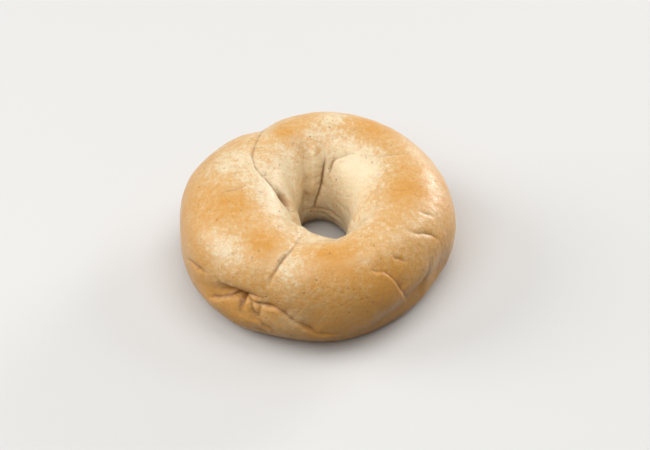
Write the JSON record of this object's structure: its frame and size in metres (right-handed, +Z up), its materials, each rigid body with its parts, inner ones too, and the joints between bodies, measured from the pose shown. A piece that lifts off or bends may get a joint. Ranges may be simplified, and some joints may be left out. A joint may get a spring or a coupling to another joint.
{
  "type": "bagel",
  "caption": "Plain baked bagel: an uneven ring of dough with a flat base, a rounded crust with folds and pinched seams, and a funnel-shaped hole.",
  "frame": {"origin": "middle of the bounding box, on the flat base", "axes": "+Z up out of the flat base, along the hole; +X to the right and +Y away, seen from the side with the near seam"},
  "size_m": [0.112, 0.1074, 0.0448],
  "materials": {
    "golden_crust": "satin"
  },
  "bodies": {
    "root": {"bagel": "golden_crust"}
  },
  "joints": []
}
